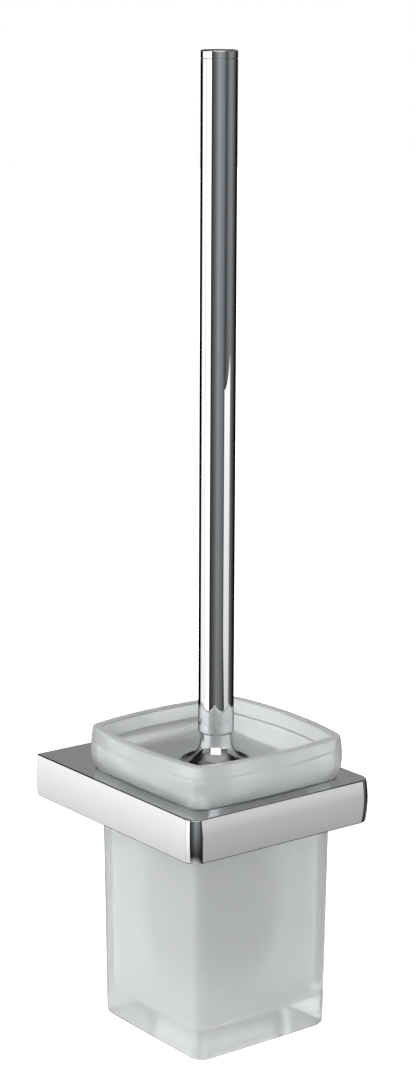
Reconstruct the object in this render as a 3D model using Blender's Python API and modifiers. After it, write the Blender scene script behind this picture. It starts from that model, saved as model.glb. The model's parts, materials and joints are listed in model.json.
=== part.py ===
"""Wall-hung toilet brush holder.

A chrome ring clamps on a hidden wall bracket and carries a satin glass tumbler.
The brush stands in the tumbler: a chrome tube, a trumpet-shaped neck and a screw-on brush head.

Frame: origin on the wall, at the middle of the bracket's back face. The wall is the plane y = 0,
the object reaches towards -Y, and +Z is up. The tumbler and the brush share one vertical axis.
"""

import math

import bmesh
import bpy

MM = 0.001
GAP = 0.3 * MM

# Holder ring: a cast square frame with a flat back, round front corners and slightly crowned sides.
RING_WIDTH = 100.0 * MM
RING_DEPTH = 119.5 * MM
RING_HEIGHT = 20.0 * MM
RING_CORNER = 6.0 * MM
RING_CROWN = 0.65 * MM
RING_EDGE = 0.6 * MM
TOP_FACE = RING_HEIGHT / 2

# The shared vertical axis of tumbler and brush.
AXIS_Y = -70.0 * MM

# Tumbler: half widths measured from the axis, heights in the part's frame.
BODY_HALF_TOP = 38.5 * MM
BODY_HALF_FOOT = 37.3 * MM
BODY_CORNER = 6.0 * MM
BODY_SIDE_RADIUS = 2.0
FOOT_Z = -108.6 * MM
FOOT_EDGE = 2.8 * MM
SHOULDER_Z = TOP_FACE + 0.4 * MM
SHOULDER_HALF = 42.0 * MM
BELLY_Z = TOP_FACE + 11.0 * MM
BELLY_HALF = 46.1 * MM
RIM_Z = TOP_FACE + 19.6 * MM
RIM_HALF = 45.4 * MM
RIM_INNER_HALF = 41.1 * MM
RIM_CORNER = 6.5 * MM
RIM_SIDE_RADIUS = 170.0 * MM
LEDGE_Z = TOP_FACE + 12.2 * MM
CAVITY_HALF_TOP = 33.2 * MM
CAVITY_HALF_FLOOR = 32.2 * MM
CAVITY_CORNER = 5.0 * MM
FLOOR_Z = -95.6 * MM

# The ring's opening and the rebate that holds the seat gasket.
OPENING_HALF = 38.9 * MM
OPENING_CORNER = 6.4 * MM
REBATE_HALF = 41.0 * MM
REBATE_DEPTH = 1.2 * MM

# Wall fixing: a pocket in the ring's back takes the bracket, and a set screw locks it from below.
POCKET_WIDTH = 72.0 * MM
POCKET_HEIGHT = 14.0 * MM
POCKET_DEPTH = 11.0 * MM
BRACKET_WIDTH = 70.0 * MM
BRACKET_HEIGHT = 13.0 * MM
BRACKET_PLATE = 3.0 * MM
TONGUE_WIDTH = 30.0 * MM
TONGUE_DEPTH = 9.5 * MM
TONGUE_HEIGHT = 9.0 * MM
SCREW_SPACING = 50.0 * MM
SCREW_Z = -2.0 * MM
SCREW_RADIUS = 1.75 * MM
SCREW_HEAD_RADIUS = 3.5 * MM
SCREW_LENGTH = 25.0 * MM
SCREW_POINT = 5.0 * MM
PLUG_START = 2.5 * MM
PLUG_LENGTH = 20.0 * MM
PLUG_RADIUS = 2.5 * MM
PLUG_NOSE = 4.0 * MM
SET_SCREW_RADIUS = 2.5 * MM
SET_SCREW_LENGTH = 6.0 * MM
SET_SCREW_Y = -6.5 * MM

# Brush handle.
HANDLE_RADIUS = 7.95 * MM
HANDLE_WALL = 1.0 * MM
HANDLE_TOP = 329.4 * MM
CAP_HEIGHT = 3.5 * MM
CAP_EDGE = 0.85 * MM
CAP_SPIGOT = 9.0 * MM
TUBE_FOOT = 28.9 * MM
TUBE_CHAMFER = 1.0 * MM
NECK_RADIUS = 6.85 * MM
NECK_FLARE_Z = 26.2 * MM
NECK_RIM_RADIUS = 15.75 * MM
NECK_RIM_Z = 16.0 * MM
NECK_FOOT_Z = 14.4 * MM
STUD_RADIUS = 4.0 * MM
STUD_IN_HEAD = 10.0 * MM
STUD_IN_TUBE = 18.0 * MM
INSERT_LENGTH = 22.0 * MM
WASHER_RADIUS = 8.5 * MM
WASHER_THICKNESS = 1.2 * MM

# Brush head.
HEAD_TOP = NECK_FOOT_Z - GAP - WASHER_THICKNESS - GAP
STEM_RADIUS = 7.5 * MM
CORE_RADIUS = 10.0 * MM
CORE_TOP = -14.0 * MM
CORE_FOOT = -84.0 * MM
CORE_DOME = 4.0 * MM
ROW_COUNT = 9
ROW_THICKNESS = 6.0 * MM
ROW_PITCH = 6.9 * MM
FIRST_ROW_Z = -20.0 * MM
BRISTLE_RADIUS = 29.0 * MM
BRISTLE_RADIUS_LOSS = 4.5 * MM
TIP_FOOT = FLOOR_Z + 0.6 * MM

ROUND_STEPS = 40
MEDIUM_STEPS = 32
SMALL_STEPS = 24
ARC_STEPS = 4
SIDE_STEPS = 6
CORNER_STEPS = 5

COLLECTION = "toilet_brush_holder"


# --- scene and materials


def clear_scene():
    for obj in list(bpy.data.objects):
        bpy.data.objects.remove(obj, do_unlink=True)


def new_collection(name):
    collection = bpy.data.collections.new(name)
    bpy.context.scene.collection.children.link(collection)
    return collection


def make_material(name, color, roughness, metallic=0.0, transmission=0.0):
    material = bpy.data.materials.new(name)
    material.use_nodes = True
    shader = material.node_tree.nodes["Principled BSDF"]
    shader.inputs["Base Color"].default_value = (*color, 1.0)
    shader.inputs["Roughness"].default_value = roughness
    shader.inputs["Metallic"].default_value = metallic
    shader.inputs["Transmission Weight"].default_value = transmission
    material.diffuse_color = (*color, 1.0)
    return material


def make_materials():
    return {
        "chrome": make_material("polished_chrome", (0.86, 0.87, 0.88), 0.04, 1.0),
        "zinc": make_material("cast_zinc", (0.55, 0.56, 0.58), 0.4, 1.0),
        "steel": make_material("stainless_steel", (0.62, 0.61, 0.59), 0.28, 1.0),
        "black_steel": make_material("blackened_steel", (0.06, 0.06, 0.065), 0.4, 1.0),
        "brass": make_material("turned_brass", (0.78, 0.6, 0.3), 0.3, 1.0),
        "glass": make_material("satin_glass", (0.86, 0.89, 0.88), 0.45, 0.0, 0.9),
        "silicone": make_material("clear_silicone", (0.8, 0.82, 0.82), 0.5),
        "rubber": make_material("black_rubber", (0.03, 0.03, 0.032), 0.7),
        "nylon": make_material("grey_nylon", (0.5, 0.51, 0.52), 0.55),
        "plastic": make_material("white_plastic", (0.85, 0.86, 0.85), 0.35),
        "bristle": make_material("white_bristle", (0.9, 0.91, 0.9), 0.5),
    }


# --- general shape tools


def add_object(name, mesh, collection, material=None, parent=None, location=(0, 0, 0)):
    obj = bpy.data.objects.new(name, mesh)
    collection.objects.link(obj)
    obj.parent = parent
    obj.location = location
    if material:
        obj.data.materials.append(material)
    return obj


def mesh_from_bmesh(name, shape):
    bmesh.ops.recalc_face_normals(shape, faces=shape.faces)
    mesh = bpy.data.meshes.new(name)
    shape.to_mesh(mesh)
    shape.free()
    return mesh


def shade_round(obj, angle=math.radians(35)):
    obj.data.shade_smooth()
    obj.data.set_sharp_from_angle(angle=angle)


def square_outline(half, side_radius, corner_radius):
    """A square outline, counter-clockwise, whose sides bow out on side_radius and whose corners are round.

    half is the distance from the centre to the middle of a side. Each corner arc touches both side arcs.
    """
    offset = side_radius - half
    reach = side_radius - corner_radius
    corner = (-offset + math.sqrt(2 * reach**2 - offset**2)) / 2
    tilt = math.atan2(corner, corner + offset)
    points = []
    for quarter in range(4):
        turn = quarter * math.pi / 2
        local = []
        for step in range(SIDE_STEPS):
            angle = tilt * (2 * step / SIDE_STEPS - 1)
            local.append((side_radius * math.cos(angle) - offset, side_radius * math.sin(angle)))
        for step in range(CORNER_STEPS):
            angle = tilt + (math.pi / 2 - 2 * tilt) * step / CORNER_STEPS
            x = corner + corner_radius * math.cos(angle)
            local.append((x, corner + corner_radius * math.sin(angle)))
        cos_turn, sin_turn = math.cos(turn), math.sin(turn)
        points += [(x * cos_turn - y * sin_turn, x * sin_turn + y * cos_turn) for x, y in local]
    return points


def loft(name, sections, closed=False):
    """A solid through a list of (outline, z). It ends in flat caps, or runs back to its first section."""
    shape = bmesh.new()
    rings = [[shape.verts.new((x, y, z)) for x, y in outline] for outline, z in sections]
    pairs = list(zip(rings, rings[1:]))
    if closed:
        pairs.append((rings[-1], rings[0]))
    for lower, upper in pairs:
        count = len(lower)
        for index in range(count):
            after = (index + 1) % count
            shape.faces.new((lower[index], lower[after], upper[after], upper[index]))
    if not closed:
        shape.faces.new(rings[0])
        shape.faces.new(rings[-1])
    return mesh_from_bmesh(name, shape)


def box_mesh(name, size, centre):
    shape = bmesh.new()
    bmesh.ops.create_cube(shape, size=1.0)
    bmesh.ops.scale(shape, vec=size, verts=shape.verts)
    bmesh.ops.translate(shape, vec=centre, verts=shape.verts)
    return mesh_from_bmesh(name, shape)


def rod_mesh(name, radius, top_radius, start, length, sides=ROUND_STEPS):
    """A cylinder or cone along +Z from start."""
    shape = bmesh.new()
    bmesh.ops.create_cone(
        shape, cap_ends=True, segments=sides, radius1=radius, radius2=top_radius, depth=length
    )
    bmesh.ops.translate(shape, vec=(0, 0, start + length / 2), verts=shape.verts)
    return mesh_from_bmesh(name, shape)


def turned(name, profile, collection, material, parent, steps=ROUND_STEPS, closed=False, **place):
    """A turned piece about Z. The profile holds (radius, z) and runs down the outer side first."""
    mesh = bpy.data.meshes.new(name)
    count = len(profile)
    edges = [(index, index + 1) for index in range(count - 1)]
    if closed:
        edges.append((count - 1, 0))
    mesh.from_pydata([(radius, 0, z) for radius, z in profile], edges, [])
    obj = add_object(name, mesh, collection, material, parent, **place)
    screw = obj.modifiers.new("turn", "SCREW")
    screw.steps = steps
    screw.render_steps = steps
    screw.use_merge_vertices = True
    screw.merge_threshold = 0.00001
    screw.use_smooth_shade = False
    return obj


def cut(obj, cutter_mesh, cutters, location=(0, 0, 0), rotation=(0, 0, 0), operation="DIFFERENCE"):
    cutter = add_object(cutter_mesh.name, cutter_mesh, cutters, location=location)
    cutter.rotation_euler = rotation
    cutter.hide_render = True
    cutter.display_type = "WIRE"
    boolean = obj.modifiers.new(cutter_mesh.name, "BOOLEAN")
    boolean.operation = operation
    boolean.solver = "EXACT"
    boolean.object = cutter


def arc_points(centre, radius, start, end, steps):
    """Points (x, z) on an arc, from the start to the end angle in degrees."""
    points = []
    for step in range(steps + 1):
        angle = math.radians(start + (end - start) * step / steps)
        points.append((centre[0] + radius * math.cos(angle), centre[1] + radius * math.sin(angle)))
    return points


# --- holder and wall fixing


def ring_outline(inset):
    """The ring from above: flat back on the wall, round front corners, sides and front moved in by inset."""
    side = RING_WIDTH / 2 + RING_CROWN - inset
    front = -RING_DEPTH - RING_CROWN + inset
    centre_x = side - RING_CORNER
    centre_y = front + RING_CORNER
    points = [(side, 0.0), (-side, 0.0)]
    for centre, start in ((-centre_x, 180), (centre_x, 270)):
        points += arc_points((centre, centre_y), RING_CORNER, start, start + 90, 2 * ARC_STEPS)
    return points


def ring_sections():
    """Crowned sides with a small round edge at top and bottom."""
    half = RING_HEIGHT / 2
    levels = []
    for angle in (0, 45, 90):
        drop = RING_EDGE * (1 - math.sin(math.radians(angle)))
        inset = RING_EDGE * (1 - math.cos(math.radians(angle)))
        levels.append((half - drop, inset))
    levels += [(half * share, 0.0) for share in (0.75, 0.5, 0.25)]
    heights = [(-z, inset) for z, inset in levels[2::-1]]
    heights += [(-z, inset) for z, inset in levels[3:]]
    heights += [(0.0, 0.0)]
    heights += [(z, inset) for z, inset in levels]
    heights.sort()
    return [(ring_outline(inset + RING_CROWN * (z / half) ** 2), z) for z, inset in heights]


def holder_ring(parts, cutters, materials):
    mesh = loft("holder_ring", ring_sections())
    ring = add_object("holder_ring", mesh, parts, materials["chrome"])
    opening = square_outline(OPENING_HALF, BODY_SIDE_RADIUS, OPENING_CORNER)
    reach = RING_HEIGHT
    opening_mesh = loft("ring_opening", [(opening, -reach), (opening, reach)])
    cut(ring, opening_mesh, cutters, location=(0, AXIS_Y, 0))
    rebate = square_outline(REBATE_HALF, BODY_SIDE_RADIUS, OPENING_CORNER + REBATE_HALF - OPENING_HALF)
    rebate_mesh = loft("gasket_rebate", [(rebate, TOP_FACE - REBATE_DEPTH), (rebate, reach)])
    cut(ring, rebate_mesh, cutters, location=(0, AXIS_Y, 0))
    pocket_size = (POCKET_WIDTH, 2 * POCKET_DEPTH, POCKET_HEIGHT)
    cut(ring, box_mesh("wall_pocket", pocket_size, (0, 0, 0)), cutters)
    hole_radius = SET_SCREW_RADIUS + GAP
    hole_mesh = rod_mesh("set_screw_hole", hole_radius, hole_radius, -reach, reach, SMALL_STEPS)
    cut(ring, hole_mesh, cutters, location=(0, SET_SCREW_Y, 0))
    shade_round(ring, math.radians(30))
    return ring


def wall_bracket(parts, cutters, materials):
    """A plate for two screws with a tongue that the ring hooks over and the set screw bears on."""
    plate_size = (BRACKET_WIDTH, BRACKET_PLATE, BRACKET_HEIGHT)
    mesh = box_mesh("wall_bracket", plate_size, (0, -BRACKET_PLATE / 2, 0))
    bracket = add_object("wall_bracket", mesh, parts, materials["zinc"])
    tongue_z = BRACKET_HEIGHT / 2 - TONGUE_HEIGHT / 2
    tongue = box_mesh(
        "bracket_tongue",
        (TONGUE_WIDTH, TONGUE_DEPTH - BRACKET_PLATE / 2, TONGUE_HEIGHT),
        (0, -(TONGUE_DEPTH + BRACKET_PLATE / 2) / 2, tongue_z),
    )
    cut(bracket, tongue, cutters, operation="UNION")
    seat_depth, seat_tip = 1.5 * MM, 0.3 * MM
    seat_radius = SET_SCREW_RADIUS + GAP
    seat = rod_mesh("set_screw_seat", seat_radius, seat_tip, -seat_depth, 2 * seat_depth, SMALL_STEPS)
    cut(bracket, seat, cutters, location=(0, SET_SCREW_Y, tongue_z - TONGUE_HEIGHT / 2))
    hole_radius = SCREW_RADIUS + GAP
    sink_depth = SCREW_HEAD_RADIUS - SCREW_RADIUS
    spare = 1.0 * MM
    sink_mouth = SCREW_HEAD_RADIUS + GAP + spare
    reach = BRACKET_PLATE + spare
    for side, x in (("left", -SCREW_SPACING / 2), ("right", SCREW_SPACING / 2)):
        hole = rod_mesh(f"screw_hole_{side}", hole_radius, hole_radius, -reach, 2 * reach, SMALL_STEPS)
        cut(bracket, hole, cutters, location=(x, 0, SCREW_Z), rotation=(math.pi / 2, 0, 0))
        sink = rod_mesh(
            f"countersink_{side}", hole_radius, sink_mouth, 0, sink_depth + spare, SMALL_STEPS
        )
        start = -(BRACKET_PLATE - sink_depth)
        cut(bracket, sink, cutters, location=(x, start, SCREW_Z), rotation=(math.pi / 2, 0, 0))
    return bracket


def wall_screw(side, x, parts, cutters, materials):
    """Countersunk screw with a cross recess, pointing into the wall."""
    sink = SCREW_HEAD_RADIUS - SCREW_RADIUS
    edge = 0.3 * MM
    profile = [
        (0, SCREW_LENGTH),
        (SCREW_HEAD_RADIUS - edge, SCREW_LENGTH),
        (SCREW_HEAD_RADIUS, SCREW_LENGTH - edge),
        (SCREW_RADIUS, SCREW_LENGTH - edge - sink),
        (SCREW_RADIUS, SCREW_POINT),
        (0, 0),
    ]
    place = {"location": (x, SCREW_LENGTH - BRACKET_PLATE, SCREW_Z)}
    screw = turned(f"wall_screw_{side}", profile, parts, materials["steel"], None, SMALL_STEPS, **place)
    screw.rotation_euler = (math.pi / 2, 0, 0)
    slot, blade_width, depth = 3.8 * MM, 1.0 * MM, 3.0 * MM
    for index, size in enumerate(((slot, blade_width, depth), (blade_width, slot, depth))):
        blade = box_mesh(f"recess_{side}_{index}", size, (0, 0, SCREW_LENGTH))
        cut(screw, blade, cutters, rotation=(math.pi / 2, 0, 0), **place)
    return screw


def wall_plug(side, x, parts, materials):
    """Ribbed expansion plug, set just below the wall's surface."""
    bore = SCREW_RADIUS + GAP
    rib_count = 4
    rib_pitch = (PLUG_LENGTH - PLUG_NOSE) / rib_count
    crest = PLUG_RADIUS + 0.3 * MM
    root = PLUG_RADIUS - 0.1 * MM
    step, nose_wall = 0.6 * MM, 0.2 * MM
    outer = []
    for rib in range(rib_count):
        top = PLUG_LENGTH - rib * rib_pitch
        outer += [(crest, top), (root, top - rib_pitch + step)]
    outer += [(root, PLUG_NOSE / 2), (bore + nose_wall, 0)]
    profile = outer + [(bore, 0), (bore, PLUG_LENGTH)]
    place = {"location": (x, PLUG_START + PLUG_LENGTH, SCREW_Z)}
    name = f"wall_plug_{side}"
    plug = turned(name, profile, parts, materials["nylon"], None, SMALL_STEPS, closed=True, **place)
    plug.rotation_euler = (math.pi / 2, 0, 0)
    return plug


def set_screw(parts, cutters, materials):
    """Hexagon socket set screw in the ring's underside; its cone bears on the bracket's tongue."""
    recess, cone, edge = 0.6 * MM, 1.2 * MM, 0.4 * MM
    foot = recess - RING_HEIGHT / 2
    top = foot + SET_SCREW_LENGTH
    profile = [
        (0, top),
        (SET_SCREW_RADIUS - cone, top),
        (SET_SCREW_RADIUS, top - cone),
        (SET_SCREW_RADIUS, foot + edge),
        (SET_SCREW_RADIUS - edge, foot),
        (0, foot),
    ]
    place = {"location": (0, SET_SCREW_Y, 0)}
    screw = turned("set_screw", profile, parts, materials["black_steel"], None, SMALL_STEPS, **place)
    socket_radius, socket_depth = 1.45 * MM, 2.5 * MM
    socket = rod_mesh(
        "set_screw_socket", socket_radius, socket_radius, foot - socket_depth, 2 * socket_depth, sides=6
    )
    cut(screw, socket, cutters, **place)
    return screw


def seat_gasket(parts, axis, materials):
    """Soft seat for the tumbler, lying in the ring's rebate."""
    outer_corner = OPENING_CORNER + REBATE_HALF - OPENING_HALF - GAP
    outer = square_outline(REBATE_HALF - GAP, BODY_SIDE_RADIUS, outer_corner)
    set_back, proud = 0.2 * MM, 0.1 * MM
    inner = square_outline(OPENING_HALF + set_back, BODY_SIDE_RADIUS, OPENING_CORNER + set_back)
    low = TOP_FACE - REBATE_DEPTH + GAP
    high = TOP_FACE + proud
    mesh = loft("seat_gasket", [(outer, low), (outer, high), (inner, high), (inner, low)], closed=True)
    return add_object("seat_gasket", mesh, parts, materials["silicone"], axis)


# --- tumbler


def blend_value(low, high, share):
    return low + (high - low) * share


def tumbler_section(half, z, pillow):
    """A tumbler outline. pillow goes from 0, the straight-sided body, to 1, the bowed rim."""
    bend = blend_value(1 / BODY_SIDE_RADIUS, 1 / RIM_SIDE_RADIUS, pillow)
    corner = blend_value(BODY_CORNER, RIM_CORNER, pillow)
    return square_outline(half, 1 / bend, corner), z


def tumbler_outside():
    sections = []
    for angle in (0, 30, 60, 90):
        inset = FOOT_EDGE * (1 - math.sin(math.radians(angle)))
        rise = FOOT_EDGE * (1 - math.cos(math.radians(angle)))
        sections.append(tumbler_section(BODY_HALF_FOOT - inset, FOOT_Z + rise, 0))
    sections.append(tumbler_section(BODY_HALF_TOP, SHOULDER_Z - 1.0 * MM, 0))
    sections.append(tumbler_section(BODY_HALF_TOP + 0.4 * MM, SHOULDER_Z, 0.1))
    power = 2.6
    for share in (0.0, 0.1, 0.22, 0.36, 0.54, 0.75, 1.0):
        bulge = 1 - (1 - share) ** power
        half = blend_value(SHOULDER_HALF, BELLY_HALF, bulge)
        sections.append(tumbler_section(half, blend_value(SHOULDER_Z, BELLY_Z, share), 0.4 + 0.6 * bulge))
    edge = 0.9 * MM
    sections.append(tumbler_section(blend_value(BELLY_HALF, RIM_HALF, 0.45), BELLY_Z + 5 * MM, 1))
    for angle in (0, 45, 90):
        inset = edge * (1 - math.cos(math.radians(angle)))
        rise = edge * (1 - math.sin(math.radians(angle)))
        sections.append(tumbler_section(RIM_HALF - inset, RIM_Z - rise, 1))
    return sections


def tumbler_inside():
    """From the rim down to the floor: a flared collar, a small ledge, then the cavity."""
    corner_in = RIM_CORNER - 2.5 * MM
    collar = (
        (RIM_INNER_HALF + 0.9 * MM, RIM_Z),
        (RIM_INNER_HALF + 0.25 * MM, RIM_Z - 0.25 * MM),
        (RIM_INNER_HALF, RIM_Z - 0.9 * MM),
        (40.7 * MM, LEDGE_Z + 0.7 * MM),
        (39.6 * MM, LEDGE_Z - 0.4 * MM),
        (39.0 * MM, TOP_FACE + 6 * MM),
        (37.4 * MM, TOP_FACE + 1.5 * MM),
        (35.0 * MM, TOP_FACE - 2 * MM),
        (CAVITY_HALF_TOP + 0.4 * MM, TOP_FACE - 5.5 * MM),
    )
    sections = []
    for half, z in collar:
        share = min(1.0, max(0.0, (z - TOP_FACE + 5.5 * MM) / (LEDGE_Z - TOP_FACE + 5.5 * MM)))
        bend = blend_value(1 / BODY_SIDE_RADIUS, 1 / RIM_SIDE_RADIUS, share)
        sections.append((square_outline(half, 1 / bend, blend_value(CAVITY_CORNER, corner_in, share)), z))
    sections.append((square_outline(CAVITY_HALF_TOP, BODY_SIDE_RADIUS, CAVITY_CORNER), TOP_FACE - 10 * MM))
    fillet = 3.0 * MM
    for angle in (0, 30, 60, 90):
        inset = fillet * (1 - math.cos(math.radians(angle)))
        rise = fillet * (1 - math.sin(math.radians(angle)))
        outline = square_outline(CAVITY_HALF_FLOOR - inset, BODY_SIDE_RADIUS, CAVITY_CORNER)
        sections.append((outline, FLOOR_Z + rise))
    return sections


def glass_tumbler(parts, axis, materials):
    mesh = loft("glass_tumbler", tumbler_outside() + tumbler_inside())
    tumbler = add_object("glass_tumbler", mesh, parts, materials["glass"], axis)
    shade_round(tumbler)
    return tumbler


# --- brush handle


def handle_tube(parts, axis, materials):
    top = HANDLE_TOP - CAP_HEIGHT - GAP
    bore = HANDLE_RADIUS - HANDLE_WALL
    edge = 0.15 * MM
    profile = [
        (HANDLE_RADIUS - edge, top),
        (HANDLE_RADIUS, top - edge),
        (HANDLE_RADIUS, TUBE_FOOT + TUBE_CHAMFER),
        (HANDLE_RADIUS - TUBE_CHAMFER * 0.8, TUBE_FOOT),
        (bore, TUBE_FOOT),
        (bore, top),
    ]
    return turned("handle_tube", profile, parts, materials["chrome"], axis, closed=True)


def handle_cap(parts, axis, materials):
    """End cap with a spigot pressed into the tube."""
    seam = HANDLE_TOP - CAP_HEIGHT
    spigot = HANDLE_RADIUS - HANDLE_WALL - GAP
    seam_edge, lead_in = 0.15 * MM, 0.5 * MM
    profile = [(0, HANDLE_TOP)]
    profile += arc_points((HANDLE_RADIUS - CAP_EDGE, HANDLE_TOP - CAP_EDGE), CAP_EDGE, 90, 0, ARC_STEPS)
    profile += [
        (HANDLE_RADIUS, seam + seam_edge),
        (HANDLE_RADIUS - seam_edge, seam),
        (spigot, seam),
        (spigot, seam - CAP_SPIGOT + lead_in),
        (spigot - lead_in, seam - CAP_SPIGOT),
        (0, seam - CAP_SPIGOT),
    ]
    return turned("handle_cap", profile, parts, materials["chrome"], axis)


def tube_insert(parts, axis, materials):
    """Threaded plug fixed in the lower end of the tube."""
    outer = HANDLE_RADIUS - HANDLE_WALL - GAP
    bore = STUD_RADIUS + GAP
    top = TUBE_FOOT + INSERT_LENGTH
    profile = [(outer, top), (outer, TUBE_FOOT), (bore, TUBE_FOOT), (bore, top)]
    return turned("tube_insert", profile, parts, materials["brass"], axis, MEDIUM_STEPS, closed=True)


def threaded_stud(parts, axis, materials):
    top = TUBE_FOOT + STUD_IN_TUBE
    foot = HEAD_TOP - STUD_IN_HEAD
    edge = 0.6 * MM
    profile = [
        (0, top),
        (STUD_RADIUS - edge, top),
        (STUD_RADIUS, top - edge),
        (STUD_RADIUS, foot + edge),
        (STUD_RADIUS - edge, foot),
        (0, foot),
    ]
    return turned("threaded_stud", profile, parts, materials["steel"], axis, SMALL_STEPS)


def neck_profile():
    """The trumpet: a straight neck that flares along a quarter ellipse into a thin disc."""
    run = NECK_RIM_RADIUS - NECK_RADIUS
    drop = NECK_FLARE_Z - NECK_RIM_Z
    top = TUBE_FOOT - GAP
    points = [(NECK_RADIUS - 0.2 * MM, top), (NECK_RADIUS, top - 0.2 * MM)]
    for angle in range(0, 91, 10):
        points.append(
            (
                NECK_RADIUS + run * (1 - math.cos(math.radians(angle))),
                NECK_FLARE_Z - drop * math.sin(math.radians(angle)),
            )
        )
    points += [
        (NECK_RIM_RADIUS - 0.1 * MM, NECK_RIM_Z - 0.7 * MM),
        (NECK_RIM_RADIUS - 0.9 * MM, NECK_RIM_Z - 1.0 * MM),
        (WASHER_RADIUS + 1.5 * MM, NECK_FOOT_Z),
    ]
    bore = STUD_RADIUS + GAP
    return points + [(bore, NECK_FOOT_Z), (bore, top)]


def handle_neck(parts, axis, materials):
    return turned("handle_neck", neck_profile(), parts, materials["chrome"], axis, closed=True)


def head_washer(parts, axis, materials):
    top = NECK_FOOT_Z - GAP
    foot = top - WASHER_THICKNESS
    bore = STUD_RADIUS + GAP
    profile = [(WASHER_RADIUS, top), (WASHER_RADIUS, foot), (bore, foot), (bore, top)]
    return turned("head_washer", profile, parts, materials["rubber"], axis, MEDIUM_STEPS, closed=True)


# --- brush head


def head_core(parts, axis, materials):
    """Moulded core: a smooth stem with a blind threaded hole, and a thicker body that holds the tufts."""
    bore = STUD_RADIUS + GAP
    bore_depth = STUD_IN_HEAD + 2 * MM
    profile = [
        (bore, HEAD_TOP),
        (STEM_RADIUS - 0.5 * MM, HEAD_TOP),
        (STEM_RADIUS, HEAD_TOP - 0.5 * MM),
        (STEM_RADIUS, CORE_TOP + 4 * MM),
        (CORE_RADIUS - 0.6 * MM, CORE_TOP),
        (CORE_RADIUS, CORE_TOP - 0.6 * MM),
    ]
    dome_centre = (CORE_RADIUS - CORE_DOME, CORE_FOOT + CORE_DOME)
    profile += arc_points(dome_centre, CORE_DOME, 0, -90, ARC_STEPS)
    profile += [(0, CORE_FOOT), (0, HEAD_TOP - bore_depth), (bore, HEAD_TOP - bore_depth + MM)]
    return turned("head_core", [*profile, (bore, HEAD_TOP)], parts, materials["plastic"], axis, MEDIUM_STEPS)


def bristle_reach(z):
    """Outer radius of the tufts at a height: a barrel, fullest in the middle."""
    middle = FIRST_ROW_Z - ROW_PITCH * (ROW_COUNT - 1) / 2
    share = (z - middle) / (FIRST_ROW_Z - middle)
    return BRISTLE_RADIUS - BRISTLE_RADIUS_LOSS * share**2


def bristle_row(number, parts, axis, materials):
    """One circle of radial tufts, as the ring that the tufts fill."""
    centre = FIRST_ROW_Z - ROW_PITCH * (number - 1)
    top = centre + ROW_THICKNESS / 2
    foot = centre - ROW_THICKNESS / 2
    bore = CORE_RADIUS + GAP
    reach = bristle_reach(centre)
    root, bevel = 1.2 * MM, 0.8 * MM
    profile = [(bore, centre + root), (reach - bevel, top), (reach, centre), (reach - bevel, foot)]
    profile.append((bore, centre - root))
    name = f"bristle_row_{number}"
    return turned(name, profile, parts, materials["bristle"], axis, MEDIUM_STEPS, closed=True)


def bristle_tip(parts, axis, materials):
    """The tufts that fan out from the rounded end of the core and reach down to the tumbler's floor."""
    last_row = FIRST_ROW_Z - ROW_PITCH * (ROW_COUNT - 1)
    top = last_row - ROW_THICKNESS / 2 - GAP
    fan_radius = 22.0 * MM
    profile = [
        (CORE_RADIUS + GAP, top - 1.6 * MM),
        (fan_radius, top - 2.0 * MM),
        (fan_radius - 1.0 * MM, top - 6.0 * MM),
        (fan_radius - 5.0 * MM, TIP_FOOT + 1.6 * MM),
        (fan_radius - 9.0 * MM, TIP_FOOT),
        (0, TIP_FOOT),
    ]
    dome_centre = (CORE_RADIUS - CORE_DOME, CORE_FOOT + CORE_DOME)
    inner = arc_points(dome_centre, CORE_DOME + GAP, -90, 0, ARC_STEPS)
    profile += [(0, CORE_FOOT - GAP), *inner]
    return turned("bristle_tip", profile, parts, materials["bristle"], axis, MEDIUM_STEPS, closed=True)


def main():
    clear_scene()
    parts = new_collection(COLLECTION)
    cutters = new_collection(f"{COLLECTION}_cutters")
    materials = make_materials()

    holder_ring(parts, cutters, materials)
    wall_bracket(parts, cutters, materials)
    for side, x in (("left", -SCREW_SPACING / 2), ("right", SCREW_SPACING / 2)):
        wall_screw(side, x, parts, cutters, materials)
        wall_plug(side, x, parts, materials)
    set_screw(parts, cutters, materials)

    axis = add_object("brush_axis", None, parts, location=(0, AXIS_Y, 0))
    seat_gasket(parts, axis, materials)
    glass_tumbler(parts, axis, materials)

    for make_piece in (handle_tube, handle_cap, tube_insert, threaded_stud, handle_neck, head_washer):
        make_piece(parts, axis, materials)
    head_core(parts, axis, materials)
    for number in range(1, ROW_COUNT + 1):
        bristle_row(number, parts, axis, materials)
    bristle_tip(parts, axis, materials)


main()
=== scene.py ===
"""Looks of the wall-hung toilet brush holder: fine meshes, procedural materials, studio and camera."""

import json
import math
import random

import bmesh
import bpy
from mathutils import Matrix, Vector


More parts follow.
